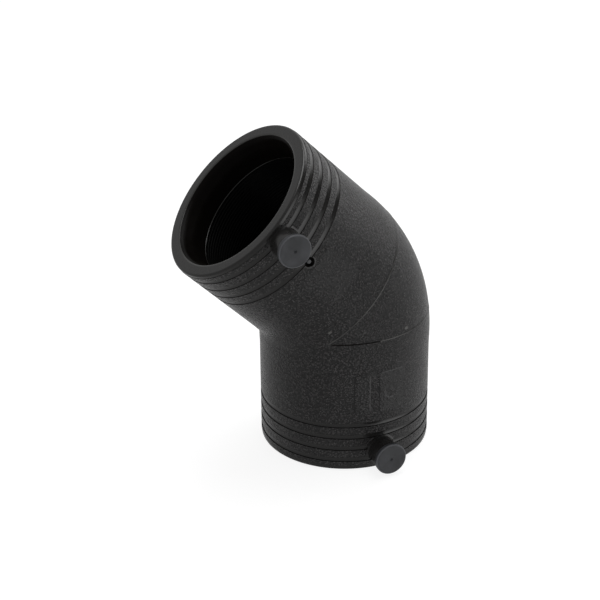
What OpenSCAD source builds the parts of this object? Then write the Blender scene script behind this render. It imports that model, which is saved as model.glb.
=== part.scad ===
// Electrofusion elbow for a 63 mm polyethylene pressure pipe.
// It stands on the mouth of its lower socket: origin at the mouth's centre, +Z up the socket.
// The upper socket leans towards -X, and both terminals face -Y.

/* [Pipe and sockets] */
// Outside diameter of the pipe that both sockets take
pipe_d = 63; // [50:1:75]
// Radial gap between the pipe and the socket bore
pipe_gap = 0.4; // [0.1:0.1:0.8]
// Wall of the barrel, from the bore to the outside
wall = 9.1; // [8.5:0.1:12]
// Depth of each socket, from its mouth to the pipe stop
socket_depth = 58; // [54:1:70]
// Height of the pipe stop, from the bore in to the centre passage
stop_step = 4.4; // [3:0.1:6]
// How far the round hollow in the middle of the bend reaches past the passage's wall
hollow_step = 1; // [0.6:0.1:2]

/* [Bend] */
// Angle that the elbow turns through
bend_angle = 45; // [30:5:60]
// Length of wall left between the pipe stop and the mitre, on the throat side
stop_land = 6.3; // [4:0.1:12]
// Radius of the throat, the inside of the bend
throat_r = 8; // [4:0.5:14]
// Distance of each mould line from the crossing of the socket axes
mould_line_back = 10.3; // [6:0.1:13]
// Width of a mould line
mould_line_w = 0.5; // [0.3:0.1:1]
// Height of a mould line above the skin
mould_line_h = 0.12; // [0.05:0.01:0.3]
// Step by which the bend stands proud of the barrels, where two mould parts meet
bend_step = 0.2; // [0.2:0.02:0.3]

/* [Mouth] */
// Outside corner radius of the smooth rim
rim_corner = 1; // [0.5:0.1:1.5]
// Length of the smooth rim
rim_len = 2.2; // [2:0.1:3]
// How far the rim lies below the barrel's skin
rim_drop = 0.2; // [0.1:0.1:1]
// Radial size of the 45 degree bevel inside the mouth
bevel = 1.4; // [0.5:0.1:2]
// Radial size of the lead-in cone behind the bevel
lead_in = 1.9; // [0.5:0.1:2.5]
// Length of the lead-in cone
lead_in_len = 5.5; // [3:0.5:7]

/* [Ring grooves] */
// Number of ring grooves on each socket
groove_count = 4; // [2:1:4]
// Distance of the first groove's near edge from the mouth
groove_first = 4.3; // [4:0.1:5.5]
// Distance from groove to groove
groove_pitch = 6.15; // [5:0.05:6.2]
// Width of a groove
groove_w = 2.3; // [1.2:0.1:2.6]
// Depth of a groove at its near edge
groove_depth = 0.4; // [0.25:0.05:0.7]
// How much shallower a groove is at its far edge
groove_rise = 0.15; // [0:0.05:0.2]

/* [Heating coil] */
// Unheated length between the mouth and the winding
cold_zone = 14.8; // [13:0.1:16]
// Turns of wire in each socket
turns = 21; // [8:1:24]
// Distance from turn to turn
turn_pitch = 1.5; // [1.2:0.05:1.5]
// Diameter of the bare wire
wire_d = 0.6; // [0.4:0.05:0.7]
// Thickness of the wire's jacket, from its crests to its back
jacket_t = 1.7; // [1.7:0.1:2]
// How far the jacket's crests lie behind the bore
crest_drop = 0.1; // [0.05:0.05:0.3]
// Depth of the valleys between the crests
valley = 0.3; // [0.1:0.05:0.4]
// Angle between the two ends of one turn, bridged by the step to the next
step_angle = 6; // [6:0.5:9]
// Width of the square crimps at both ends of a turn, as a multiple of the wire's diameter
crimp = 1.5; // [1.5:0.1:1.7]
// Gap around every piece that is moulded in
insert_gap = 0.02; // [0.01:0.01:0.05]

/* [Terminals] */
// Distance of the terminals from the mouth
terminal_t = 9.2; // [9:0.1:11]
// Height of the shroud above the barrel
shroud_h = 8.5; // [6:0.5:12]
// Outside diameter of the shroud
shroud_d = 13.4; // [12.5:0.1:13.6]
// Bore of the shroud
shroud_bore_d = 10; // [9:0.1:10.5]
// Depth of the shroud's floor below the barrel's skin
shroud_floor = 3; // [2:0.1:3.5]
// Diameter of the terminal pin
pin_d = 4.7; // [4:0.1:4.7]
// Diameter of the pin's root, between its foot and the shroud's floor
root_d = 5.2; // [4.8:0.1:6]
// How far the pin's tip lies inside the shroud
pin_inset = 1.5; // [1:0.1:3]
// Chamfer at the pin's tip
pin_chamfer = 0.6; // [0.3:0.1:1]
// Diameter of the foot that anchors the pin
foot_d = 7; // [6:0.1:8]
// Thickness of the pin's foot
foot_t = 1.6; // [1:0.1:1.8]
// Depth of the foot's back below the shroud's floor
foot_sink = 3.4; // [3:0.1:3.6]
// Size of the bevel around the foot of the shroud
shroud_bevel = 0.8; // [0.4:0.1:1]

/* [Caps] */
// Diameter of the cap's head
cap_d = 15.6; // [14.5:0.1:16]
// Thickness of the cap's head
cap_t = 2.2; // [1.5:0.1:3]
// Bevel around the head
cap_bevel = 0.5; // [0.2:0.1:0.8]
// Length of the plug that enters the shroud
plug_len = 7; // [4:0.5:9]
// Radial gap between the plug and the shroud
plug_gap = 0.06; // [0.02:0.01:0.1]
// Radial room between the plug and the pin
pin_room = 0.65; // [0.6:0.05:1]
// Diameter of the dimple in the middle of the head
dimple_d = 1.4; // [0.6:0.1:2]

/* [Melt indicator] */
// Distance of the indicator from the upper mouth
indicator_t = 25.6; // [24.5:0.1:26.5]
// Diameter of the open well
well_d = 4.8; // [4:0.1:5]
// Depth of the open well below the barrel's skin
well_depth = 3.5; // [2:0.1:4]
// Diameter of the indicator pin
indicator_d = 2; // [1.5:0.1:2.4]
// Depth of the pin's foot below the barrel's skin
indicator_foot = 6.4; // [5.5:0.1:6.6]
// How far the pin's top lies below the barrel's skin
indicator_sink = 0.5; // [0:0.1:1]
// Radial gap between the pin and its guide hole
indicator_gap = 0.05; // [0.02:0.01:0.1]

/* [Panels] */
// Distance of the panels from the mouth
panel_t = 29.3; // [29:0.1:31]
// Length of the panels along the barrel
panel_len = 21.4; // [15:0.1:22]
// Height of the panels above the skin
panel_h = 0.3; // [0.1:0.05:0.6]
// Corner radius of the panels
panel_corner = 2; // [1:0.1:3]
// Left and right edges of the wide panel on the upper socket
upper_panel_x = [-11.4, 12]; // [-16:0.1:16]
// Left and right edges of the panel on the lower socket
lower_panel_x = [-1.5, 12]; // [-16:0.1:16]
// Left and right edges of the narrow panel on the lower socket
strip_panel_x = [-13.4, -5.8]; // [-16:0.1:16]
// Diameter of the round mark in the lower panel
mark_d = 7.4; // [4:0.1:9]
// Depth of the round mark
mark_depth = 0.2; // [0.1:0.05:0.3]

/* [Hidden] */
$fn = 96;
// Overlap that cutters reach past a face
past = 1;
// Sides of the wire's section where it is wound, few enough for so many turns
wire_sides = 12;
// Length by which the bend and the barrels reach into each other
bend_overlap = 0.5;
// Jacket before the first turn and behind the last, in pitches
end_share = 0.7;
// Half width of a crest and half distance of two valleys, in pitches
crest_share = 0.2;
valley_share = 0.43;
// Radius of a knuckle, and how far a turn's ends reach into its crimps, in wire radii
knuckle_share = 1.15;
tuck_share = 0.2;
// Half lengths of the crimps between turns, and where a lead or the bridge enters, in wire radii
step_share = 0.75;
lead_share = 1.5;
half_bend = bend_angle / 2;
bore_r = pipe_d / 2 + pipe_gap;
barrel_r = bore_r + wall;
passage_r = bore_r - stop_step;
// Mouth to the crossing of the socket axes
arm = socket_depth + stop_land + bore_r * tan(half_bend);
bend_r = barrel_r + throat_r;
// Mouth to the start of the bend
bend_t = arm - bend_r * tan(half_bend);
rim_r = barrel_r - rim_drop;
// Winding: first turn, end of its zone, wire circle and the back of the jacket
first_turn = cold_zone + turn_pitch * end_share;
last_turn = first_turn + (turns - 1) * turn_pitch;
zone_end = last_turn + turn_pitch * end_share;
jacket_in = bore_r + crest_drop;
jacket_out = bore_r + jacket_t;
wire_r = wire_d / 2;
knuckle_r = wire_r * knuckle_share;
crimp_w = wire_d * crimp;
step_reach = wire_r * step_share;
lead_reach = wire_r * lead_share;
wire_at = jacket_out - insert_gap - crimp_w / 2;
notch_in = wire_at - wire_r - insert_gap;
step_x = wire_at * sin(step_angle / 2);
step_y = -wire_at * cos(step_angle / 2);
mitre_point = [-step_x, step_y, arm - step_x * tan(half_bend)];
lead_corner = [0, -wire_at, terminal_t];
// Heights along a terminal or an indicator, from the socket's axis
shroud_top = barrel_r + shroud_h;
floor_at = barrel_r - shroud_floor;
foot_back = floor_at - foot_sink;
pin_tip = shroud_top - pin_inset;
panel_r = barrel_r + panel_h;

// Places its children, drawn for the lower socket, on the upper one
module on_upper() {
    translate([0, 0, arm])
        rotate([0, -bend_angle, 0])
            translate([0, 0, arm])
                mirror([0, 0, 1])
                    children();
}

// Points its children's +Z out of the socket's front, at a distance from the mouth
module facing_front(t) {
    translate([0, 0, t])
        rotate([90, 0, 0])
            children();
}

// Round rod between two points
module rod(a, b, r) {
    d = b - a;
    length = norm(d);
    translate(a)
        rotate([0, acos(d[2] / length), atan2(d[1], d[0])])
            cylinder(r = r, h = length);
}

// Ring-grooved socket as a solid of revolution, from the rim to the start of the bend
module socket_skin() {
    groove_points = [
        for (i = [0:groove_count - 1])
            let (t = groove_first + i * groove_pitch)
                each [
                    [barrel_r, t],
                    [barrel_r - groove_depth, t],
                    [barrel_r - groove_depth + groove_rise, t + groove_w],
                    [barrel_r, t + groove_w]
                ]
    ];
    rotate_extrude() {
        polygon(concat(
            [[0, rim_len], [barrel_r, rim_len]],
            groove_points,
            [[barrel_r, bend_t], [0, bend_t]]
        ));
        translate([0, rim_corner])
            square([rim_r, rim_len - rim_corner]);
        square([rim_r - rim_corner, rim_len]);
        translate([rim_r - rim_corner, rim_corner])
            circle(r = rim_corner);
    }
}

// Torus that joins the two barrels and reaches a little into both
module bend_skin(r) {
    extra = bend_overlap / bend_r * 180 / PI;
    translate([-bend_r, 0, bend_t])
        rotate([90, extra, 0])
            rotate_extrude(angle = bend_angle + 2 * extra)
                translate([bend_r, 0])
                    circle(r = r);
}

// Keeps what lies on the lower side of the mitre plane
module lower_half() {
    size = 4 * barrel_r;
    intersection() {
        children();
        translate([0, 0, arm])
            rotate([0, -half_bend, 0])
                translate([-size / 2, -size / 2, -size])
                    cube(size);
    }
}

// Thin raised line where the sliding sleeve of the mould met its fixed halves.
// It stops just short of the other socket's line.
module mould_line() {
    size = 3 * barrel_r;
    end_x = past - mould_line_back / tan(half_bend);
    intersection() {
        bend_skin(barrel_r + bend_step + mould_line_h);
        translate([end_x, -size / 2, arm - mould_line_back - mould_line_w / 2])
            cube([size, size, mould_line_w]);
    }
}

// Bore of one socket, with its bevel, lead-in, winding pocket, pipe stop and passage
module socket_bore() {
    mouth_r = bore_r + lead_in + bevel;
    neck_r = bore_r + lead_in;
    pocket_r = jacket_out + insert_gap;
    rotate_extrude()
        polygon([
            [0, -past], [mouth_r, -past], [mouth_r, 0],
            [neck_r, bevel], [bore_r, bevel + lead_in_len],
            [bore_r, cold_zone - insert_gap], [pocket_r, cold_zone - insert_gap],
            [pocket_r, zone_end + insert_gap], [bore_r, zone_end + insert_gap],
            [bore_r, socket_depth], [0, socket_depth]
        ]);
    translate([0, 0, socket_depth - past])
        cylinder(r = passage_r, h = arm - socket_depth + past);
}

// Start and end of turn k
function turn_start(k) = [step_x, step_y, first_turn + k * turn_pitch];
function turn_stop(k) = [-step_x, step_y, first_turn + k * turn_pitch];

// Round knuckle where the wire turns a corner
module knuckle(at, gap = 0) {
    translate(at)
        sphere(r = knuckle_r + gap);
}

// Lead from the terminal's foot to the winding
module lead(gap = 0) {
    rod([0, -foot_back, terminal_t], lead_corner, wire_r + gap);
    knuckle(lead_corner, gap);
    rod(lead_corner, turn_start(0), wire_r + gap);
}

// Tunnels for the leads and for the bridge between the two windings
module wire_tunnels() {
    lead(insert_gap);
    rod(turn_stop(turns - 1), mitre_point, wire_r + insert_gap);
    on_upper() {
        lead(insert_gap);
        rod(turn_stop(turns - 1), mitre_point, wire_r + insert_gap);
    }
    knuckle(mitre_point, insert_gap);
}

// Collar that shields the terminal
module shroud() {
    r = shroud_d / 2;
    facing_front(terminal_t) {
        translate([0, 0, foot_back - past])
            cylinder(r = r, h = shroud_top - foot_back + past);
        translate([0, 0, barrel_r - 2 * shroud_bevel])
            cylinder(r1 = r + 3 * shroud_bevel, r2 = r, h = 3 * shroud_bevel);
    }
}

module shroud_cut() {
    facing_front(terminal_t) {
        translate([0, 0, floor_at])
            cylinder(d = shroud_bore_d, h = shroud_top - floor_at + past);
        translate([0, 0, foot_back])
            cylinder(r = root_d / 2 + insert_gap, h = floor_at - foot_back + past);
        translate([0, 0, foot_back - insert_gap])
            cylinder(r = foot_d / 2 + insert_gap, h = foot_t + 2 * insert_gap);
    }
}

// Open well of the melt indicator and the guide hole below it
module indicator_cut() {
    foot_at = barrel_r - indicator_foot;
    facing_front(indicator_t) {
        translate([0, 0, barrel_r - well_depth])
            cylinder(d = well_d, h = well_depth + past);
        translate([0, 0, foot_at])
            cylinder(r = indicator_d / 2 + indicator_gap, h = indicator_foot);
    }
}

// Smooth raised panel with round corners, from one edge to the other
module panel(edges) {
    c = panel_corner;
    w = edges[1] - edges[0];
    intersection() {
        cylinder(r = panel_r, h = panel_t + panel_len + past);
        facing_front(panel_t)
            translate([edges[0], 0, 0])
                linear_extrude(height = panel_r + past) {
                    translate([c, 0])
                        square([w - 2 * c, panel_len]);
                    translate([0, c])
                        square([w, panel_len - 2 * c]);
                    for (x = [c, w - c], y = [c, panel_len - c])
                        translate([x, y])
                            circle(r = c);
                }
    }
}

// Round shallow mark in the middle of the lower panel
module mark_cut() {
    middle = (lower_panel_x[0] + lower_panel_x[1]) / 2;
    difference() {
        translate([middle, 0, 0])
            facing_front(panel_t + panel_len / 2)
                cylinder(d = mark_d, h = panel_r + past);
        cylinder(r = panel_r - mark_depth, h = arm);
    }
}

module body() {
    color("#2b2c2e")
        difference() {
            union() {
                bend_skin(barrel_r + bend_step);
                mould_line();
                on_upper()
                    mould_line();
                socket_skin();
                shroud();
                panel(lower_panel_x);
                panel(strip_panel_x);
                on_upper() {
                    socket_skin();
                    shroud();
                    panel(upper_panel_x);
                }
            }
            mark_cut();
            socket_bore();
            shroud_cut();
            on_upper() {
                socket_bore();
                shroud_cut();
                indicator_cut();
            }
            translate([0, 0, arm])
                sphere(r = passage_r + hollow_step);
            wire_tunnels();
        }
}

// Black jacket of the coiled wire, fused into one ribbed sleeve with notches for the wire
module wire_jacket() {
    crest = turn_pitch * crest_share;
    root = turn_pitch * valley_share;
    notch = wire_r + insert_gap;
    inside = [
        for (k = [0:turns - 1])
            let (t = first_turn + k * turn_pitch)
                each [
                    [jacket_in + valley, t - root], [jacket_in, t - crest],
                    [jacket_in, t + crest], [jacket_in + valley, t + root]
                ]
    ];
    outside = [
        for (k = [turns - 1:-1:0])
            let (t = first_turn + k * turn_pitch)
                each [
                    [jacket_out, t + notch], [notch_in, t + notch],
                    [notch_in, t - notch], [jacket_out, t - notch]
                ]
    ];
    slot_w = 2 * (step_x + 2 * wire_r);
    slot_in = wire_at - crimp_w / 2 - insert_gap;
    slot_floor = sqrt(slot_in * slot_in - slot_w * slot_w / 4);
    color("#1d1e1f")
        difference() {
            rotate_extrude()
                polygon(concat(
                    [[jacket_in + valley, cold_zone]], inside, [[jacket_in + valley, zone_end]],
                    [[jacket_out, zone_end]], outside, [[jacket_out, cold_zone]]
                ));
            translate([-slot_w / 2, -jacket_out - past, cold_zone - past])
                cube([slot_w, jacket_out + past - slot_floor, zone_end - cold_zone + 2 * past]);
        }
}

// Stretch of a ring around the socket's axis, between two angles from the front, with the drawn section
module ring(from, to) {
    rotate([0, 0, from - 90])
        rotate_extrude(angle = to - from)
            translate([wire_at, 0])
                children();
}

// Square crimp that holds the end of a turn
module end_crimp(middle, reach) {
    half = asin(reach / wire_at);
    ring(middle - half, middle + half)
        square(crimp_w, center = true);
}

// One turn of the wire with a crimp at each end, at its own height.
// Its ends lie just inside the crimps.
module turn(start_reach, stop_reach) {
    start = step_angle / 2;
    stop = 360 - start;
    inside = wire_r * tuck_share;
    ring(start + asin((start_reach - inside) / wire_at), stop - asin((stop_reach - inside) / wire_at))
        circle(r = wire_r, $fn = wire_sides);
    end_crimp(start, start_reach);
    end_crimp(stop, stop_reach);
}

// Resistance wire of one socket: lead, turns with a step to the next, and half of the bridge.
// The two wires are welded where the bridge crosses the mitre plane.
module heating_coil() {
    color("#b9a37c") {
        lead();
        for (k = [0:turns - 1])
            translate([0, 0, first_turn + k * turn_pitch])
                turn(k == 0 ? lead_reach : step_reach, k == turns - 1 ? lead_reach : step_reach);
        for (k = [0:turns - 2])
            rod(turn_stop(k), turn_start(k + 1), wire_r);
        lower_half()
            rod(turn_stop(turns - 1), mitre_point + [0, 0, past], wire_r);
    }
}

// Brass pin on a foot that is moulded in
module terminal_pin() {
    color("#c9a44c")
        facing_front(terminal_t) {
            translate([0, 0, foot_back])
                cylinder(d = foot_d, h = foot_t);
            translate([0, 0, foot_back])
                cylinder(d = root_d, h = floor_at - foot_back);
            translate([0, 0, foot_back])
                cylinder(d = pin_d, h = pin_tip - pin_chamfer - foot_back);
            translate([0, 0, pin_tip - pin_chamfer])
                cylinder(r1 = pin_d / 2, r2 = pin_d / 2 - pin_chamfer, h = pin_chamfer);
        }
}

// Cap with a flat head and a hollow plug that holds in the shroud's bore, clear of the pin
module terminal_cap() {
    r = cap_d / 2;
    head_face = shroud_top + cap_t;
    color("#303133")
        facing_front(terminal_t)
            difference() {
                union() {
                    translate([0, 0, shroud_top])
                        cylinder(r = r, h = cap_t - cap_bevel);
                    translate([0, 0, head_face - cap_bevel])
                        cylinder(r1 = r, r2 = r - cap_bevel, h = cap_bevel);
                    translate([0, 0, shroud_top - plug_len])
                        cylinder(r = shroud_bore_d / 2 - plug_gap, h = plug_len + past);
                }
                translate([0, 0, shroud_top - plug_len - past])
                    cylinder(r = pin_d / 2 + pin_room, h = plug_len + past);
                translate([0, 0, head_face])
                    sphere(d = dimple_d);
            }
}

// Small pin that rises out of its well when the joint is fused
module melt_indicator() {
    top = barrel_r - indicator_sink;
    foot_at = barrel_r - indicator_foot;
    color("#3a3b3d")
        facing_front(indicator_t)
            translate([0, 0, foot_at])
                cylinder(d = indicator_d, h = top - foot_at);
}

body();
wire_jacket();  // wire_jacket_lower
on_upper() wire_jacket();  // wire_jacket_upper
heating_coil();  // heating_coil_lower
on_upper() heating_coil();  // heating_coil_upper
terminal_pin();  // terminal_pin_lower
on_upper() terminal_pin();  // terminal_pin_upper
terminal_cap();  // terminal_cap_lower
on_upper() terminal_cap();  // terminal_cap_upper
on_upper() melt_indicator();  // melt_indicator_upper
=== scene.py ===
"""Electrofusion elbow for a 63 mm polyethylene pipe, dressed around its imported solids.

The black elbow stands on the mouth of its lower socket, and its upper socket leans towards -X.
Sizes are in millimetres where they are named, and meshes are in metres.
"""

import bmesh
import bpy
import numpy as np
from mathutils import Matrix


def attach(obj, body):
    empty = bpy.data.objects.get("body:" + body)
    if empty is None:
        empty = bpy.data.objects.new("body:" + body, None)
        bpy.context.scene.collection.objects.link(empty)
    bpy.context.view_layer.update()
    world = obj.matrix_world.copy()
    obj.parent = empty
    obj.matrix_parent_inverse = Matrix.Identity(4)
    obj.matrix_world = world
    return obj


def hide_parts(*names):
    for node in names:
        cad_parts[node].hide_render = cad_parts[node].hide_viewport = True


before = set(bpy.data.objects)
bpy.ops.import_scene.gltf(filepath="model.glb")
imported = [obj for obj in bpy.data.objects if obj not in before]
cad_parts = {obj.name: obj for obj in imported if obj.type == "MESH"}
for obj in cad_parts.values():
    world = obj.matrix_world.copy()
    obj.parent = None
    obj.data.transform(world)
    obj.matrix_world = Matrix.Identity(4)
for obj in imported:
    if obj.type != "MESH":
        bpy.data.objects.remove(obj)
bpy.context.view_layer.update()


# Moulded body: two sockets and the bend between them in black polyethylene, injection moulded
# in one shot around both windings. The mould's etched faces leave a fine leather grain, while
# the rims, the groove ramps, the panels and the collars of the terminals come out smooth.

MM = 0.001
bend_angle = np.radians(45)
half_bend = bend_angle / 2
bore_r = 31.9
barrel_r = 41.0
passage_r = 27.5
hollow_r = 28.5
socket_depth = 58.0
stop_land = 6.3
throat_r = 8.0
arm = socket_depth + stop_land + bore_r * np.tan(half_bend)
bend_r = barrel_r + throat_r
bend_t = arm - bend_r * np.tan(half_bend)
bend_step, bend_fade = 0.2, 9.0
mould_line_back, mould_line_w, mould_line_h = 10.3, 0.6, 0.11
rim_corner, rim_len, rim_drop = 1.0, 2.2, 0.2
bevel, lead_in, lead_in_len = 1.4, 1.9, 5.5
groove_count, groove_first, groove_pitch = 4, 4.3, 6.15
groove_w, groove_depth, groove_rise = 2.3, 0.4, 0.15
cold_zone, zone_end, pocket_r = 14.8, 46.9, 33.62
panel_t, panel_len, panel_h, panel_corner = 29.3, 21.4, 0.16, 2.0
panel_slope, panel_grain = 0.35, 0.75
upper_panels = [(-11.4, 12.0)]
lower_panels = [(-1.5, 12.0), (-13.4, -5.8)]
mark_x, mark_t, mark_r, mark_depth = 5.25, 40.0, 3.7, 0.2
terminal_t, shroud_top, shroud_r, shroud_bore_r, floor_at = 9.2, 49.5, 6.7, 5.0, 38.0
foot_back, foot_t, foot_r, root_r = 34.6, 1.6, 3.5, 2.6
indicator_t, well_r, well_bottom, guide_r, indicator_foot = 25.6, 2.4, 37.5, 1.05, 34.6
insert_gap = 0.02
lip_w, lip_h = 0.6, 0.15
specks = [(True, -118.5, 62.3), (False, -71.0, 69.7), (False, -125.5, 72.6)]

corner = np.array([0.0, 0.0, arm])
mitre_normal = np.array([-np.sin(half_bend), 0.0, np.cos(half_bend)])


def on_upper(points):
    """Mirror image of the lower socket's points in the mitre plane, where the upper socket is."""
    away = (points - corner) @ mitre_normal
    return points - 2 * away[..., None] * mitre_normal


def spaced(stops, step):
    """Positions from the first stop to the last that hit every stop, at most one step apart."""
    parts = [np.linspace(a, b, max(1, int(np.ceil((b - a) / step))), endpoint=False)
             for a, b in zip(stops[:-1], stops[1:])]
    return np.concatenate(parts + [[stops[-1]]])


def around():
    """Angles round a socket: dense across the front, where the panels and collars are."""
    edges = sorted({x for left, right in upper_panels + lower_panels for x in
                    (left, left + panel_slope, right - panel_slope, right)})
    front = spaced([-15.0] + edges + [14.0], 0.5)
    facing = -np.arccos(front / barrel_r)
    back = np.linspace(facing[-1], facing[0] + 2 * np.pi, 128)[1:-1]
    return np.concatenate([facing, back])


def ring_rows(r, t, angle):
    """Circles of radius r at height t on the socket's axis, one row for each pair."""
    r, t = np.broadcast_arrays(np.asarray(r, float), np.asarray(t, float))
    if r.ndim == 1:
        r, t = r[:, None], t[:, None]
    return np.stack([r * np.cos(angle), r * np.sin(angle), t + 0 * angle], axis=-1)


def inside_rows(angle):
    """Hollow, passage, pipe stop, bore, winding pocket, lead-in and bevel, down to the mouth."""
    c, s = np.cos(angle), np.sin(angle)
    oval = passage_r / np.sqrt((c * np.cos(half_bend)) ** 2 + s**2)
    reach = np.where(c < 0, np.maximum(hollow_r, oval), hollow_r)
    mitre = corner + np.stack([reach * c * np.cos(half_bend), reach * s, reach * c * np.sin(half_bend)], -1)
    edge_t = arm - np.sqrt(hollow_r**2 - passage_r**2)
    passage_end = np.minimum(edge_t, arm + passage_r * c * np.tan(half_bend) - 0.3)
    edge = ring_rows(np.full((1, 1), passage_r), passage_end[None], angle)[0]
    share = np.linspace(0, 1, 7)[:, None]
    chord = (mitre - corner)[None] * (1 - share[..., None]) + (edge - corner)[None] * share[..., None]
    radius = np.linalg.norm(mitre - corner, axis=-1) * (1 - share) + np.linalg.norm(edge - corner, axis=-1) * share
    hollow = corner + chord * (radius / np.linalg.norm(chord, axis=-1))[..., None]
    fall = np.linspace(0, 1, 8)[1:, None]
    passage_t = passage_end * (1 - fall) + (socket_depth + 0.3) * fall
    passage = ring_rows(np.full_like(passage_t, passage_r), passage_t, angle)
    neck_r, mouth_r = bore_r + lead_in, bore_r + lead_in + bevel
    profile = [(passage_r + 0.3, socket_depth), (bore_r, socket_depth)]
    profile += [(bore_r, t) for t in spaced([zone_end + insert_gap, socket_depth - 0.4], 2.0)[::-1]]
    profile += [(pocket_r, t) for t in spaced([cold_zone - insert_gap, zone_end + insert_gap], 4.0)[::-1]]
    profile += [(bore_r - lip_h, cold_zone - 0.2), (bore_r - lip_h, cold_zone - 0.35)]
    profile += [(bore_r, t) for t in spaced([bevel + lead_in_len, cold_zone - lip_w], 1.5)[::-1]]
    profile += [(r, bevel + lead_in_len - lead_in_len * (r - bore_r) / lead_in)
                for r in np.linspace(bore_r, neck_r, 5)[1:]]
    profile += [(neck_r + 0.12, bevel - 0.14), (mouth_r - 0.25, 0.27), (mouth_r + 0.05, 0.07), (mouth_r + 0.4, 0.0)]
    r, t = np.array(profile).T
    return np.concatenate([hollow, passage, ring_rows(r, t, angle)])


def rounded_box(x, t, left, right):
    """Signed distance to a panel's outline with round corners, negative inside."""
    half_x, half_t = (right - left) / 2 - panel_corner, panel_len / 2 - panel_corner
    dx = np.abs(x - (left + right) / 2) - half_x
    dt = np.abs(t - panel_t - panel_len / 2) - half_t
    outside = np.hypot(np.maximum(dx, 0), np.maximum(dt, 0))
    return outside + np.minimum(np.maximum(dx, dt), 0) - panel_corner


def smooth_step(x):
    """Rises from 0 to 1 as x goes from 0 to 1, level at both ends."""
    x = np.clip(x, 0, 1)
    return x * x * (3 - 2 * x)


def outside_rows(angle, panels, marked):
    """Rim, ring grooves, barrel with its raised panels, and the bend as far as the mitre plane."""
    rim_r = barrel_r - rim_drop
    turn = np.linspace(0, np.pi / 2, 6)
    rim = [(bore_r + lead_in + bevel + 1.0, 0.0), (rim_r - rim_corner - 0.3, 0.0)]
    rim += [(rim_r - rim_corner * (1 - np.sin(a)), rim_corner * (1 - np.cos(a))) for a in turn]
    rim += [(rim_r, rim_len - 0.02), (barrel_r - 0.06, rim_len), (barrel_r, rim_len + 0.08)]
    profile = rim
    start = rim_len + 0.08
    edge = 0.06
    for i in range(groove_count):
        near = groove_first + i * groove_pitch
        far = near + groove_w
        floor = np.array([near + 0.04, near + 0.2, near + groove_w / 2, far - 0.2, far - 0.04])
        sunk = groove_depth - groove_rise * (floor - near) / groove_w
        profile += [(barrel_r, t) for t in spaced([start, near - edge], 0.5)[1:]]
        profile += [(barrel_r - edge, near)]
        profile += list(zip(barrel_r - sunk + edge * np.array([1, 0, 0, 0, 1]), floor))
        profile += [(barrel_r - edge, far), (barrel_r, far + edge)]
        start = far + edge
    stops = [start, panel_t, panel_t + panel_slope, panel_t + panel_len - panel_slope,
             panel_t + panel_len, bend_t - 0.05]
    barrel = spaced(stops, 0.55)[1:]
    r, t = np.array(profile).T
    x = barrel_r * np.cos(angle)[None]
    front = np.sin(angle)[None] < 0
    height = np.zeros((len(barrel), len(angle)))
    for left, right in panels:
        rise = smooth_step(-rounded_box(x, barrel[:, None], left, right) / panel_slope)
        height = np.maximum(height, np.where(front, panel_h * rise, 0))
    if marked:
        to_edge = mark_r - np.hypot(x - mark_x, barrel[:, None] - mark_t)
        height = height - np.where(front, mark_depth * smooth_step(to_edge / 0.35), 0)
    swell = bend_step * smooth_step((barrel[:, None] - bend_t) / bend_fade + 1)
    skin = ring_rows(barrel_r + height + swell, np.repeat(barrel[:, None], len(angle), 1), angle)
    return np.concatenate([ring_rows(r, t, angle), skin, bend_rows(angle)])


def bend_rows(angle):
    """Half of the bend's torus: circles swung about the pivot of the bend, in three stretches.

    The stretches meet along the mould line, a ridge in the plane across the socket at
    mould_line_back from the corner. Where that plane lies past the mitre the rows close up on it.
    """
    r = barrel_r + bend_step
    arm_x = bend_r + r * np.cos(angle)
    line_t = arm - mould_line_back

    def swing_to(t):
        return np.arcsin(np.clip((t - bend_t) / arm_x, -1, np.sin(half_bend)))

    edges = [swing_to(line_t + d * mould_line_w) for d in (-0.5, -0.2, 0.2, 0.5)]
    fade = smooth_step((arm_x * np.cos(half_bend) - bend_r + mould_line_back / np.tan(half_bend) - 1.0) / 1.5)
    lead = [edges[0] * f for f in np.linspace(0, 1, 10)]
    tail = [edges[3] + (half_bend - edges[3]) * f for f in np.linspace(0, 1, 11)[1:]]
    swings = np.array(lead + edges[1:] + tail)
    lift = np.zeros_like(swings)
    lift[len(lead)] = lift[len(lead) + 1] = mould_line_h * fade
    rr = r + lift
    out = bend_r + rr * np.cos(angle)
    return np.stack([out * np.cos(swings) - bend_r, rr * np.sin(angle), bend_t + out * np.sin(swings)], -1)


def quads(rows, columns):
    """Corner numbers of the faces between neighbouring points of a grid that closes round its columns."""
    i, j = np.meshgrid(np.arange(rows - 1), np.arange(columns), indexing="ij")
    k = (j + 1) % columns
    return np.stack([i * columns + j, i * columns + k, (i + 1) * columns + k, (i + 1) * columns + j], -1).reshape(-1, 4)


def make_piece(name, shells, sharp=30):
    """One closed mesh from grids of points in millimetres, each a tube that may end in points.

    Doubles merge, faces turn outwards, and edges bent by more than sharp degrees stay crisp.
    """
    points, faces, count = [], [], 0
    for grid in shells:
        faces.append(quads(*grid.shape[:2]) + count)
        points.append(grid.reshape(-1, 3) * MM)
        count += grid.shape[0] * grid.shape[1]
    mesh = bpy.data.meshes.new(name)
    mesh.from_pydata(np.concatenate(points), [], np.concatenate(faces))
    clean(mesh)
    mesh.set_sharp_from_angle(angle=np.radians(sharp))
    piece = bpy.data.objects.new(name, mesh)
    bpy.context.scene.collection.objects.link(piece)
    return piece


def clean(mesh):
    """Merges doubles, drops faces without area and turns the rest outwards."""
    work = bmesh.new()
    work.from_mesh(mesh)
    bmesh.ops.remove_doubles(work, verts=work.verts, dist=1e-6)
    bmesh.ops.dissolve_degenerate(work, edges=work.edges, dist=1e-7)
    bmesh.ops.recalc_face_normals(work, faces=work.faces)
    work.to_mesh(mesh)
    work.free()
    mesh.shade_smooth()


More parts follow.
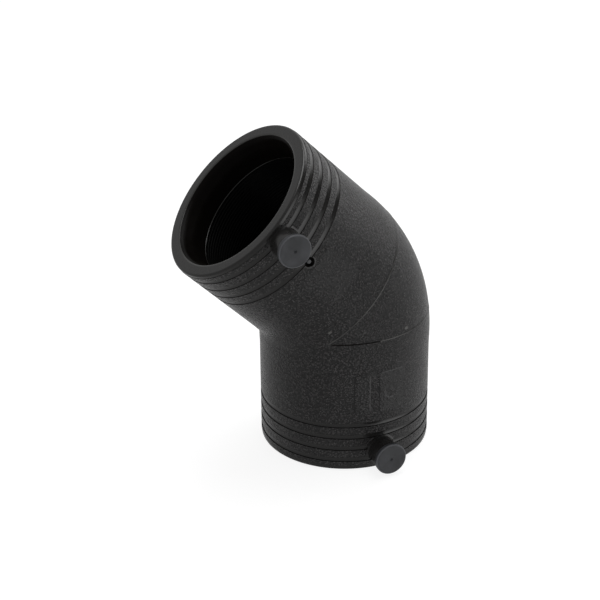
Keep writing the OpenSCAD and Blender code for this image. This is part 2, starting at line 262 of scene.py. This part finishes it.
def turned(profile, t, count=64):
    """Solid of revolution about a line that leaves the socket's front at t: radius and height pairs."""
    r, h = np.array(profile, float).T
    a = np.linspace(0, 2 * np.pi, count, endpoint=False)
    return np.stack([r[:, None] * np.cos(a), -h[:, None] + 0 * a, t + r[:, None] * np.sin(a)], -1)


def arc(centre_r, centre_h, radius, start, stop, count=5):
    """Points of a profile along a circle, from one angle to the other in degrees."""
    a = np.radians(np.linspace(start, stop, count))
    return list(zip(centre_r + radius * np.cos(a), centre_h + radius * np.sin(a)))


angles = around()


def socket_grid(panels, marked):
    """Closed skin of one socket from the hollow at the mitre, out of the mouth, to the mitre again."""
    return np.concatenate([inside_rows(angles), outside_rows(angles, panels, marked)])


lower_grid = socket_grid(lower_panels, True)
upper_grid = on_upper(socket_grid(upper_panels, False))
body = make_piece("body_shell", [np.concatenate([lower_grid, upper_grid[::-1]])])

collar_foot_r = 7.15
collar = [(0, 36.6), (collar_foot_r, 36.6), (collar_foot_r, 40.2), (6.95, 40.6), (6.82, 41.0)]
collar += [(6.74, 41.4), (shroud_r, 42.0), (shroud_r, 45.5)]
collar += arc(shroud_r - 0.35, shroud_top - 0.35, 0.35, 0, 90, 4) + [(0, shroud_top)]
collars = make_piece("collars", [turned(collar, terminal_t, 96), on_upper(turned(collar, terminal_t, 96))])

socket_cut = [(0, foot_back - insert_gap), (foot_r + insert_gap, foot_back - insert_gap),
              (foot_r + insert_gap, foot_back + foot_t + insert_gap),
              (root_r + insert_gap, foot_back + foot_t + insert_gap), (root_r + insert_gap, floor_at),
              (shroud_bore_r, floor_at), (shroud_bore_r, shroud_top - 0.3),
              (shroud_bore_r + 0.3, shroud_top), (shroud_bore_r + 0.3, shroud_top + 1), (0, shroud_top + 1)]
well_cut = [(0, indicator_foot), (guide_r, indicator_foot), (guide_r, well_bottom), (well_r, well_bottom),
            (well_r, barrel_r - 0.25), (well_r + 0.25, barrel_r + 0.05), (well_r + 0.25, barrel_r + 1.5),
            (0, barrel_r + 1.5)]
cutters = make_piece("cutters", [turned(socket_cut, terminal_t, 80), on_upper(turned(socket_cut, terminal_t, 80)),
                                 on_upper(turned(well_cut, indicator_t, 48))])


def combine(piece, other, operation):
    """Leaves piece joined with, or cut by, a closed tool mesh, and removes the tool."""
    step = piece.modifiers.new(operation.lower(), "BOOLEAN")
    step.object, step.operation, step.solver = other, operation, "MANIFOLD"
    bpy.context.view_layer.update()
    shape = piece.evaluated_get(bpy.context.evaluated_depsgraph_get())
    mesh = bpy.data.meshes.new_from_object(shape)
    piece.modifiers.clear()
    piece.data = mesh
    bpy.data.objects.remove(other)


combine(body, collars, "UNION")
combine(body, cutters, "DIFFERENCE")
clean(body.data)
body.data.set_sharp_from_angle(angle=np.radians(30))


def socket_places(points):
    """Each point's place in its own socket: x, y and the distance t from that socket's mouth."""
    above = (points - corner) @ mitre_normal > 0
    own = np.where(above[..., None], on_upper(points), points)
    return own, above


def mark_grain(piece):
    """Writes on each face its leather grain, its painted sheen, painted highlights and bright specks,
    and finds the faces drawn near black as painted shade: the inside, the groove corners and a
    stretch of the lower mould line.

    Across the bend the distance from the middle is taken from the bend's centre line.
    """
    mesh = piece.data
    centres = np.empty(len(mesh.polygons) * 3)
    mesh.polygons.foreach_get("center", centres)
    own, above = socket_places(centres.reshape(-1, 3) / MM)
    x, y, t = own.T
    swung = np.hypot(np.hypot(x + bend_r, t - bend_t) - bend_r, y)
    r = np.where(t > bend_t, swung, np.hypot(x, y))
    grain = ((r > 39.7) & (t > rim_len)).astype(float)
    dark = np.zeros(len(grain), bool)
    for i in range(groove_count):
        near = groove_first + i * groove_pitch
        grain[(t > near) & (t < near + groove_w)] = 0
        # The corners of each groove are drawn near black: painted shade.
        in_corner = np.abs(np.abs(t - near - groove_w / 2) - groove_w / 2 + 0.1) < 0.1
        dark |= in_corner & (np.abs(r - barrel_r + groove_depth) < groove_depth + 0.02)
    grain[(y < 0) & (np.hypot(x, t - terminal_t) < collar_foot_r + 0.7)] = 0
    grain[above & (y < 0) & (np.hypot(x, t - indicator_t) < well_r + 0.6)] = 0
    mouth_r = bore_r + lead_in + bevel
    on_line = np.abs(t - arm + mould_line_back) < mould_line_w / 2
    grain[on_line] = 0
    # Smooth faces are painted a little lighter: a painted sheen.
    painted_highlight_and_specks = np.where(grain > 0, 0, 0.12)
    # The mould lines are painted light, a painted highlight, except where the lower one lies in shade.
    painted_highlight_and_specks[on_line & (r > 39.7) & (above | (x > -1))] = 0.6
    # This stretch of the lower mould line is drawn near black: painted shade.
    dark |= on_line & (r > 39.7) & ~above & (y < 0) & (x > -23) & (x < -1)
    # The rounded edge of the mouth is painted light: a painted highlight.
    painted_highlight_and_specks[(r > mouth_r - 0.25) & (r < mouth_r + 0.4) & (t < 0.3)] = 0.35
    for side, degrees, height in specks:
        spot = barrel_r * np.cos(np.radians(degrees))
        painted_highlight_and_specks[(above == side) & (y < 0) & (np.hypot(x - spot, t - height) < 0.34)] = 1.3
    for panels, side in ((lower_panels, ~above), (upper_panels, above)):
        for left, right in panels:
            depth_in = rounded_box(x, t, left, right)
            grain[side & (y < 0) & (depth_in < 0)] = panel_grain
            grain[side & (y < 0) & ~above & (np.abs(depth_in + panel_slope / 2) < panel_slope / 2)] = 0
    grain[~above & (y < 0) & (np.abs(np.hypot(x - mark_x, t - mark_t) - mark_r + 0.17) < 0.2)] = 0
    for name, values in (("grain", grain), ("painted_highlight_and_specks", painted_highlight_and_specks)):
        layer = mesh.attributes.new(name, "FLOAT", "FACE")
        layer.data.foreach_set("value", values.astype(np.float32))
    lip = (t > cold_zone - lip_w) & (t < cold_zone)
    # The inside of the socket is drawn near black too: painted shade.
    return dark | ((r < mouth_r - 0.3) & (t > 0.15) & ~lip)


painted_shade_faces = mark_grain(body)


def linear(code):
    """Linear colour of an sRGB hex code, with full opacity."""
    value = np.array([int(code[i:i + 2], 16) for i in (1, 3, 5)]) / 255
    low, high = value / 12.92, ((value + 0.055) / 1.055) ** 2.4
    return (*np.where(value <= 0.04045, low, high), 1.0)


def add_node(tree, kind, inputs=None, **settings):
    """Adds a node with its settings; each input is a value or the socket that feeds it."""
    made = tree.nodes.new(kind)
    for key, value in settings.items():
        setattr(made, key, value)
    for key, value in (inputs or {}).items():
        if isinstance(value, bpy.types.NodeSocket):
            tree.links.new(value, made.inputs[key])
        else:
            made.inputs[key].default_value = value
    return made


def new_material(name):
    """Empty node material with its tree, shader and output."""
    material = bpy.data.materials.new(name)
    material.use_nodes = True
    tree = material.node_tree
    tree.nodes.clear()
    shader = add_node(tree, "ShaderNodeBsdfPrincipled")
    add_node(tree, "ShaderNodeOutputMaterial", {"Surface": shader.outputs["BSDF"]})
    return material, tree, shader


def polyethylene_body():
    """Black polyethylene, injection moulded against etched steel.

    Carbon black gives a warm near-black; the etched grain breaks the sheen into small glints
    about a millimetre apart, and the smooth faces keep a soft satin. The grain's crests are
    painted lighter as a painted glint, and a face attribute adds a painted sheen on the smooth
    faces, painted highlights on most of the mould lines and the mouth's edge, and a few bright specks.
    """
    material, tree, shader = new_material("black_polyethylene_moulded")
    place = add_node(tree, "ShaderNodeTexCoord").outputs["Object"]
    grain = add_node(tree, "ShaderNodeAttribute", attribute_name="grain").outputs["Fac"]
    wander = add_node(tree, "ShaderNodeTexNoise", {"Vector": place, "Scale": 420.0, "Detail": 2.0})
    bent = add_node(tree, "ShaderNodeVectorMath", {0: wander.outputs["Color"], 1: (0.0009,) * 3}, operation="MULTIPLY")
    warped = add_node(tree, "ShaderNodeVectorMath", {0: place, 1: bent.outputs[0]}, operation="ADD")
    cells = add_node(tree, "ShaderNodeTexVoronoi", {"Vector": warped.outputs[0], "Scale": 1 / 0.001, "Smoothness": 0.5},
                     feature="SMOOTH_F1")
    fine = add_node(tree, "ShaderNodeTexNoise", {"Vector": place, "Scale": 1900.0, "Detail": 2.0})
    mixed = add_node(tree, "ShaderNodeMath", {0: cells.outputs["Distance"], 1: -1.0, 2: fine.outputs["Fac"]},
                     operation="MULTIPLY_ADD")
    depth = add_node(tree, "ShaderNodeMath", {0: grain, 1: 1.0, 2: 0.05}, operation="MULTIPLY_ADD")
    bump = add_node(tree, "ShaderNodeBump", {"Height": mixed.outputs[0], "Strength": depth.outputs[0],
                                             "Distance": 0.00055})
    cloud = add_node(tree, "ShaderNodeTexNoise", {"Vector": place, "Scale": 55.0, "Detail": 3.0})
    tint = add_node(tree, "ShaderNodeMix", {0: cloud.outputs["Fac"], 6: linear("#080707"), 7: linear("#0d0c0c")},
                    data_type="RGBA")
    # The crests of the grain are painted lighter: a painted glint.
    crest = add_node(tree, "ShaderNodeMapRange", {"Value": mixed.outputs[0], 1: 0.02, 2: 0.34, 3: 0.0, 4: 1.0})
    painted_glint = add_node(tree, "ShaderNodeMath", {0: crest.outputs[0], 1: grain}, operation="MULTIPLY")
    skin = add_node(tree, "ShaderNodeMix", {0: painted_glint.outputs[0], 6: tint.outputs[2], 7: linear("#373535")},
                    data_type="RGBA")
    # Painted sheen and painted highlights from the face attribute, and a few bright specks.
    highlight_and_specks = add_node(tree, "ShaderNodeAttribute", attribute_name="painted_highlight_and_specks").outputs["Fac"]
    part = add_node(tree, "ShaderNodeMath", {0: highlight_and_specks, 1: 0.4}, operation="MULTIPLY")
    skin = add_node(tree, "ShaderNodeMix", {0: part.outputs[0], 6: skin.outputs[2], 7: linear("#6e6d6a")},
                    data_type="RGBA")
    satin = add_node(tree, "ShaderNodeMapRange", {"Value": cloud.outputs["Fac"], 1: 0.3, 2: 0.7, 3: 0.21, 4: 0.29})
    gloss = add_node(tree, "ShaderNodeMath", {0: grain, 1: 0.0, 2: satin.outputs[0]}, operation="MULTIPLY_ADD")
    tree.links.new(skin.outputs[2], shader.inputs["Base Color"])
    tree.links.new(gloss.outputs[0], shader.inputs["Roughness"])
    tree.links.new(bump.outputs[0], shader.inputs["Normal"])
    shader.inputs["IOR"].default_value = 1.51
    shader.inputs["Specular IOR Level"].default_value = 0.42
    return material


def polyethylene_painted_shade():
    """The same polyethylene with drag marks, drawn near black and almost without sheen: painted shade inside the bore,
    which was moulded against the polished core pins, in the groove corners and on a stretch of the lower mould line.
    """
    material, tree, shader = new_material("black_polyethylene_painted_shade")
    place = add_node(tree, "ShaderNodeTexCoord").outputs["Object"]
    drag = add_node(tree, "ShaderNodeTexNoise", {"Vector": place, "Scale": 240.0, "Detail": 3.0})
    tint = add_node(tree, "ShaderNodeMix", {0: drag.outputs["Fac"], 6: linear("#070504"), 7: linear("#0b0908")},
                    data_type="RGBA")
    gloss = add_node(tree, "ShaderNodeMapRange", {"Value": drag.outputs["Fac"], 1: 0.3, 2: 0.7, 3: 0.30, 4: 0.40})
    bump = add_node(tree, "ShaderNodeBump", {"Height": drag.outputs["Fac"], "Strength": 0.1, "Distance": 0.0001})
    tree.links.new(tint.outputs[2], shader.inputs["Base Color"])
    tree.links.new(gloss.outputs[0], shader.inputs["Roughness"])
    tree.links.new(bump.outputs[0], shader.inputs["Normal"])
    shader.inputs["IOR"].default_value = 1.51
    # Almost no sheen, so these faces stay near black: painted shade.
    shader.inputs["Specular IOR Level"].default_value = 0.04
    return material


body.data.materials.clear()
body.data.materials.append(polyethylene_body())
body.data.materials.append(polyethylene_painted_shade())
# Faces with painted shade take the near-black second material.
body.data.polygons.foreach_set("material_index", painted_shade_faces.astype(int))
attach(body, "fitting")
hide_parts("body")


# Wire jackets: the polyethylene coat of the coiled wire, one sleeve in each socket. Its turns
# melt together when the body is moulded over them, and leave fine ribs that run round the bore.

turn_pitch, turns = 1.5, 21
first_turn = cold_zone + 0.7 * turn_pitch
jacket_in, jacket_out, valley = 32.0, 33.6, 0.3
wire_r, wire_at = 0.3, 33.13
ribs_per_turn = 8


def jacket_grid():
    """Sleeve whose inner wall waves once for each turn: a cosine of the height, wound as a helix."""
    a = np.linspace(0, 2 * np.pi, 180, endpoint=False)
    t = np.linspace(cold_zone + 0.02, zone_end - 0.02, turns * ribs_per_turn + 1)
    phase = (t[:, None] - first_turn) / turn_pitch - (a[None] + np.pi / 2) / (2 * np.pi)
    ends = smooth_step(np.minimum(t - t[0], t[-1] - t) / turn_pitch)[:, None]
    inner = jacket_in + valley * (1 - ends * (0.5 + 0.5 * np.cos(2 * np.pi * phase)))
    wall = ring_rows(inner, np.repeat(t[:, None], len(a), 1), a)
    back_t = t[::-ribs_per_turn]
    return np.concatenate([wall, ring_rows(np.full(len(back_t), jacket_out), back_t, a), wall[:1]])


def polyethylene_jacket():
    """Black polyethylene extruded on the wire and melted smooth: a little glossier than the body."""
    material, tree, shader = new_material("black_polyethylene_jacket")
    place = add_node(tree, "ShaderNodeTexCoord").outputs["Object"]
    flow = add_node(tree, "ShaderNodeTexNoise", {"Vector": place, "Scale": 260.0, "Detail": 3.0})
    tint = add_node(tree, "ShaderNodeMix", {0: flow.outputs["Fac"], 6: linear("#040404"), 7: linear("#080808")},
                    data_type="RGBA")
    bump = add_node(tree, "ShaderNodeBump", {"Height": flow.outputs["Fac"], "Strength": 0.3, "Distance": 0.0001})
    tree.links.new(tint.outputs[2], shader.inputs["Base Color"])
    tree.links.new(bump.outputs[0], shader.inputs["Normal"])
    shader.inputs["Roughness"].default_value = 0.38
    shader.inputs["IOR"].default_value = 1.51
    shader.inputs["Specular IOR Level"].default_value = 0.07
    return material


jacket_material = polyethylene_jacket()
for side, placed in (("lower", np.asarray), ("upper", on_upper)):
    sleeve = make_piece(f"wire_sleeve_{side}", [placed(jacket_grid())], sharp=60)
    sleeve.data.materials.append(jacket_material)
    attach(sleeve, "fitting")
    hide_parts(f"wire_jacket_{side}")


# Heating coils: round resistance wire, wound through each socket from its terminal's foot and
# welded to the other coil at the mitre. The alloy is drawn bright and turns straw brown.

step_x = wire_at * np.sin(np.radians(3))
step_y = -wire_at * np.cos(np.radians(3))


def coil_path():
    """Points of one wire: lead from the foot, a helix of all turns, and the bridge to the mitre."""
    n = 60 * turns
    a = np.linspace(-np.pi / 2, -np.pi / 2 + 2 * np.pi * turns, n) + np.radians(3)
    helix = np.stack([wire_at * np.cos(a), wire_at * np.sin(a),
                      np.linspace(first_turn, first_turn + (turns - 1) * turn_pitch, n)], -1)
    lead = np.array([[0, -foot_back, terminal_t], [0, -wire_at - 0.2, terminal_t], [0, -wire_at, terminal_t + 0.3]])
    end = helix[-1]
    bridge = np.array([[end[0], end[1], end[2] + 0.6], [end[0], end[1], arm + end[0] * np.tan(half_bend)]])
    return np.concatenate([lead, helix, bridge])


def tube(path, r, sides=6):
    """Round tube along a path: circles square to its tangent, with one axis pointing to the socket's middle."""
    tangent = np.gradient(path, axis=0)
    tangent /= np.linalg.norm(tangent, axis=1)[:, None]
    across = np.cross(tangent, path * [1, 1, 0] + [0, 0, 1e-3])
    across /= np.linalg.norm(across, axis=1)[:, None]
    inward = np.cross(across, tangent)
    a = np.linspace(0, 2 * np.pi, sides, endpoint=False)[None, :, None]
    circles = path[:, None] + r * (np.cos(a) * across[:, None] + np.sin(a) * inward[:, None])
    ends = [np.repeat(path[i][None, None], sides, 1) for i in (0, -1)]
    return np.concatenate([ends[0], circles, ends[1]])


def resistance_alloy():
    """Drawn copper-nickel resistance wire: bright metal with a thin straw oxide."""
    material, tree, shader = new_material("drawn_resistance_alloy")
    place = add_node(tree, "ShaderNodeTexCoord").outputs["Object"]
    heat = add_node(tree, "ShaderNodeTexNoise", {"Vector": place, "Scale": 180.0, "Detail": 2.0})
    tint = add_node(tree, "ShaderNodeMix", {0: heat.outputs["Fac"], 6: linear("#b39a70"), 7: linear("#cdbb98")},
                    data_type="RGBA")
    tree.links.new(tint.outputs[2], shader.inputs["Base Color"])
    shader.inputs["Metallic"].default_value = 1.0
    shader.inputs["Roughness"].default_value = 0.32
    return material


alloy = resistance_alloy()
for side, placed in (("lower", np.asarray), ("upper", on_upper)):
    coil = make_piece(f"wound_wire_{side}", [placed(tube(coil_path(), wire_r))], sharp=70)
    coil.data.materials.append(alloy)
    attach(coil, "fitting")
    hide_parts(f"heating_coil_{side}")


# Terminal pins: turned brass contacts of 4.7 mm on a root and a foot that the body is moulded
# over. A cap hides each one until the fusion leads are plugged on.

pin_r, pin_chamfer, pin_tip = 2.35, 0.6, 48.0
pin_profile = [(0, foot_back), (foot_r, foot_back), (foot_r, foot_back + foot_t), (root_r, foot_back + foot_t),
               (root_r, floor_at - 0.1), (root_r - 0.1, floor_at), (pin_r, floor_at)]
pin_profile += [(pin_r, h) for h in (floor_at + 3, floor_at + 6, pin_tip - pin_chamfer)]
pin_profile += [(pin_r - pin_chamfer, pin_tip), (0, pin_tip)]


def turned_brass():
    """Free-cutting brass off an automatic lathe: bright, with fine rings from the tool."""
    material, tree, shader = new_material("turned_brass")
    place = add_node(tree, "ShaderNodeTexCoord").outputs["Object"]
    rings = add_node(tree, "ShaderNodeTexWave", {"Vector": place, "Scale": 900.0, "Distortion": 1.0},
                     bands_direction="Y")
    stain = add_node(tree, "ShaderNodeTexNoise", {"Vector": place, "Scale": 300.0})
    tint = add_node(tree, "ShaderNodeMix", {0: stain.outputs["Fac"], 6: linear("#b5924a"), 7: linear("#d6b66c")},
                    data_type="RGBA")
    bump = add_node(tree, "ShaderNodeBump", {"Height": rings.outputs["Fac"], "Strength": 0.15, "Distance": 0.0001})
    tree.links.new(tint.outputs[2], shader.inputs["Base Color"])
    tree.links.new(bump.outputs[0], shader.inputs["Normal"])
    shader.inputs["Metallic"].default_value = 1.0
    shader.inputs["Roughness"].default_value = 0.25
    return material


brass = turned_brass()
for side, placed in (("lower", np.asarray), ("upper", on_upper)):
    pin = make_piece(f"contact_{side}", [placed(turned(pin_profile, terminal_t, 48))])
    pin.data.materials.append(brass)
    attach(pin, "fitting")
    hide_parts(f"terminal_pin_{side}")


# Terminal caps: soft black polyethylene covers, pushed over the collars by hand. Each has a
# flat head with a small gate dimple and a hollow plug that fits between collar and pin.

cap_r, cap_t, cap_bevel = 7.8, 2.2, 0.5
plug_r, plug_in, plug_len = 4.94, 3.0, 7.0
head_face = shroud_top + cap_t
head_flat = cap_r - cap_bevel
cap_profile = [(0, head_face - 0.45), (0.3, head_face - 0.38), (0.55, head_face - 0.16), (0.75, head_face)]
cap_profile += [(r, head_face) for r in (2.5, 4.5, 6.2)]
cap_profile += arc(cap_r - cap_bevel, head_face - cap_bevel, cap_bevel, 90, 0, 5)
cap_profile += arc(cap_r - 0.3, shroud_top + 0.3, 0.3, 0, -90, 4)
cap_profile += [(plug_r, shroud_top), (plug_r, shroud_top - plug_len + 0.5), (plug_r - 0.5, shroud_top - plug_len),
                (plug_in + 0.3, shroud_top - plug_len), (plug_in, shroud_top - plug_len + 0.3),
                (plug_in, shroud_top - 0.4), (plug_in - 0.4, shroud_top), (0, shroud_top)]


def polyethylene_cap():
    """Soft black polyethylene from a polished mould: even satin, greyed a little by handling, and a painted highlight
    on the head's rounded edge.
    """
    material, tree, shader = new_material("black_polyethylene_cap")
    place = add_node(tree, "ShaderNodeTexCoord").outputs["Object"]
    cloud = add_node(tree, "ShaderNodeTexNoise", {"Vector": place, "Scale": 140.0, "Detail": 4.0})
    scuff = add_node(tree, "ShaderNodeTexNoise", {"Vector": place, "Scale": 900.0, "Detail": 2.0})
    patch = add_node(tree, "ShaderNodeMapRange", {"Value": cloud.outputs["Fac"], 1: 0.35, 2: 0.65, 3: 0.0, 4: 1.0})
    tint = add_node(tree, "ShaderNodeMix", {0: patch.outputs[0], 6: linear("#252628"), 7: linear("#343538")},
                    data_type="RGBA")
    gloss = add_node(tree, "ShaderNodeMapRange", {"Value": scuff.outputs["Fac"], 1: 0.3, 2: 0.7, 3: 0.34, 4: 0.46})
    bump = add_node(tree, "ShaderNodeBump", {"Height": scuff.outputs["Fac"], "Strength": 0.12, "Distance": 0.0001})
    highlight_and_specks = add_node(tree, "ShaderNodeAttribute", attribute_name="painted_highlight_and_specks").outputs["Fac"]
    # The rounded edge of the head is painted lighter: a painted highlight.
    skin = add_node(tree, "ShaderNodeMix", {0: highlight_and_specks, 6: tint.outputs[2], 7: linear("#4e4f52")}, data_type="RGBA")
    tree.links.new(skin.outputs[2], shader.inputs["Base Color"])
    tree.links.new(gloss.outputs[0], shader.inputs["Roughness"])
    tree.links.new(bump.outputs[0], shader.inputs["Normal"])
    shader.inputs["IOR"].default_value = 1.51
    shader.inputs["Specular IOR Level"].default_value = 0.25
    return material


cap_plastic = polyethylene_cap()
for side, placed in (("lower", np.asarray), ("upper", on_upper)):
    cap = make_piece(f"cap_{side}", [placed(turned(cap_profile, terminal_t, 96))])
    cap.data.materials.append(cap_plastic)
    centres = np.array([face.center for face in cap.data.polygons]) / MM
    x, y, t = socket_places(centres)[0].T
    # Faces on the rounded edge of the head get the painted highlight.
    edge = (np.hypot(x, t - terminal_t) > head_flat) & (-y > head_face - cap_bevel)
    layer = cap.data.attributes.new("painted_highlight_and_specks", "FLOAT", "FACE")
    layer.data.foreach_set("value", edge.astype(np.float32))
    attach(cap, f"cap_{side}")
    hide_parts(f"terminal_cap_{side}")


# Melt indicator: a small polyethylene pin in an open well of the upper socket. Molten plastic
# from the joint pushes it up when the fusion has worked.

indicator_r, indicator_top = 1.0, 40.5
indicator_profile = [(0, indicator_foot + 0.02), (indicator_r, indicator_foot + 0.02)]
indicator_profile += [(indicator_r, h) for h in (36.5, 38.5)]
indicator_profile += arc(indicator_r - 0.2, indicator_top - 0.2, 0.2, 0, 90, 4) + [(0, indicator_top)]


def polyethylene_indicator():
    """Dark grey polyethylene pin, cut from extruded rod: a dull, slightly rough end."""
    material, tree, shader = new_material("grey_polyethylene_rod")
    place = add_node(tree, "ShaderNodeTexCoord").outputs["Object"]
    cut = add_node(tree, "ShaderNodeTexNoise", {"Vector": place, "Scale": 1200.0, "Detail": 2.0})
    tint = add_node(tree, "ShaderNodeMix", {0: cut.outputs["Fac"], 6: linear("#333436"), 7: linear("#434446")},
                    data_type="RGBA")
    bump = add_node(tree, "ShaderNodeBump", {"Height": cut.outputs["Fac"], "Strength": 0.2, "Distance": 0.0001})
    tree.links.new(tint.outputs[2], shader.inputs["Base Color"])
    tree.links.new(bump.outputs[0], shader.inputs["Normal"])
    shader.inputs["Roughness"].default_value = 0.55
    shader.inputs["IOR"].default_value = 1.51
    return material


rod = make_piece("indicator_rod", [on_upper(turned(indicator_profile, indicator_t, 32))])
rod.data.materials.append(polyethylene_indicator())
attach(rod, "indicator_upper")
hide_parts("melt_indicator_upper")


# Studio: a translucent white table lit from below, a bright back to the right and behind, and
# a dim front where the camera stands. The camera looks down at the elbow's front.

floor_mesh = bpy.data.meshes.new("floor")
floor_mesh.from_pydata([(x, y, 0.0) for x, y in ((-3, -3), (3, -3), (3, 3), (-3, 3))], [], [(0, 1, 2, 3)])
floor = bpy.data.objects.new("floor", floor_mesh)
bpy.context.scene.collection.objects.link(floor)
floor_sheet, floor_tree, floor_shader = new_material("white_acrylic_table")
floor_shader.inputs["Base Color"].default_value = linear("#909090")
floor_shader.inputs["Roughness"].default_value = 0.9
floor_shader.inputs["Emission Color"].default_value = (1.0, 1.0, 1.0, 1.0)
floor_shader.inputs["Emission Strength"].default_value = 0.85
floor_mesh.materials.append(floor_sheet)
floor.visible_glossy = False


def studio_walls():
    """Surround: white behind the object as the camera sees it, and for light a fade from bright to dim.

    The strength follows the angle to the bright side, at 60 degrees from +X towards +Y, and a
    dark upright stands at the right, where its image breaks the glints on the grooves. A pale
    pane beside it, low at the front, lights the front of the upper socket.
    """
    world = bpy.data.worlds.new("studio")
    world.use_nodes = True
    tree = world.node_tree
    tree.nodes.clear()
    way = add_node(tree, "ShaderNodeTexCoord").outputs["Generated"]
    bright_side = (0.5, 0.866, 0.0)
    along = add_node(tree, "ShaderNodeVectorMath", {0: way, 1: bright_side}, operation="DOT_PRODUCT")
    fade = add_node(tree, "ShaderNodeMapRange", {"Value": along.outputs["Value"], 1: 0.1, 2: 0.95, 3: 0.37, 4: 0.66},
                    interpolation_type="SMOOTHSTEP")
    upright_at = (0.967, -0.188, 0.174)
    near = add_node(tree, "ShaderNodeVectorMath", {0: way, 1: upright_at}, operation="DOT_PRODUCT")
    gap = add_node(tree, "ShaderNodeMapRange", {"Value": near.outputs["Value"], 1: 0.84, 2: 0.98, 3: 1.0, 4: 0.0},
                   interpolation_type="SMOOTHSTEP")
    window_at = (0.62, -0.75, -0.22)
    beside = add_node(tree, "ShaderNodeVectorMath", {0: way, 1: window_at}, operation="DOT_PRODUCT")
    pane = add_node(tree, "ShaderNodeMapRange", {"Value": beside.outputs["Value"], 1: 0.80, 2: 0.97, 3: 0.0, 4: 1.4},
                    interpolation_type="SMOOTHSTEP")
    lit = add_node(tree, "ShaderNodeMath", {0: fade.outputs[0], 1: gap.outputs[0], 2: pane.outputs[0]},
                   operation="MULTIPLY_ADD")
    seen = add_node(tree, "ShaderNodeLightPath").outputs["Is Camera Ray"]
    level = add_node(tree, "ShaderNodeMix", {0: seen, 2: lit.outputs[0], 3: 1.0})
    light = add_node(tree, "ShaderNodeBackground", {"Strength": level.outputs[0]})
    light.inputs["Color"].default_value = (1.0, 1.0, 1.0, 1.0)
    add_node(tree, "ShaderNodeOutputWorld", {"Surface": light.outputs[0]})
    return world


bpy.context.scene.world = studio_walls()
bpy.context.scene.view_settings.view_transform = "Standard"


def softbox(name, place, aim, width, height, power):
    """Rectangular area light at a place, turned to shine at a point, in metres and watts."""
    lamp = bpy.data.lights.new(name, "AREA")
    lamp.shape, lamp.size, lamp.size_y, lamp.energy = "RECTANGLE", width, height, power
    holder = bpy.data.objects.new(name, lamp)
    back = np.subtract(place, aim)
    back = back / np.linalg.norm(back)
    side = np.cross((0, 0, 1), back)
    side /= np.linalg.norm(side)
    turn = np.eye(4)
    turn[:3, 0], turn[:3, 1], turn[:3, 2], turn[:3, 3] = side, np.cross(back, side), back, place
    holder.matrix_world = Matrix(turn)
    bpy.context.scene.collection.objects.link(holder)


middle = (-0.02, 0.0, 0.08)
softbox("right", (0.8, 0.35, 0.45), middle, 0.5, 0.8, 1.0)
softbox("overhead", (0.1, 0.1, 1.0), middle, 0.7, 0.7, 5.0)

photo_focal, photo_distance, photo_shift = 1749.7, 20.249, (5.35, -5.1)
azimuth, elevation, roll = np.radians([-24.28, 25.63, -0.495])
back = np.array([np.sin(azimuth) * np.cos(elevation), -np.cos(azimuth) * np.cos(elevation), np.sin(elevation)])
level = np.array([np.cos(azimuth), np.sin(azimuth), 0.0])
upright = np.cross(back, level)
eye = (np.array([-0.5, 0.0, 1.88]) + back * photo_distance) * barrel_r * MM
pose = np.eye(4)
pose[:3, 0] = level * np.cos(roll) + upright * np.sin(roll)
pose[:3, 1] = -level * np.sin(roll) + upright * np.cos(roll)
pose[:3, 2] = back
pose[:3, 3] = eye
lens = bpy.data.cameras.new("camera")
lens.sensor_width = 36.0
lens.lens = photo_focal / 600 * lens.sensor_width
lens.shift_x, lens.shift_y = -photo_shift[0] / 600, photo_shift[1] / 600
lens.clip_start, lens.clip_end = 0.05, 20.0
camera = bpy.data.objects.new("camera", lens)
camera.matrix_world = Matrix(pose)
bpy.context.scene.collection.objects.link(camera)
bpy.context.scene.camera = camera
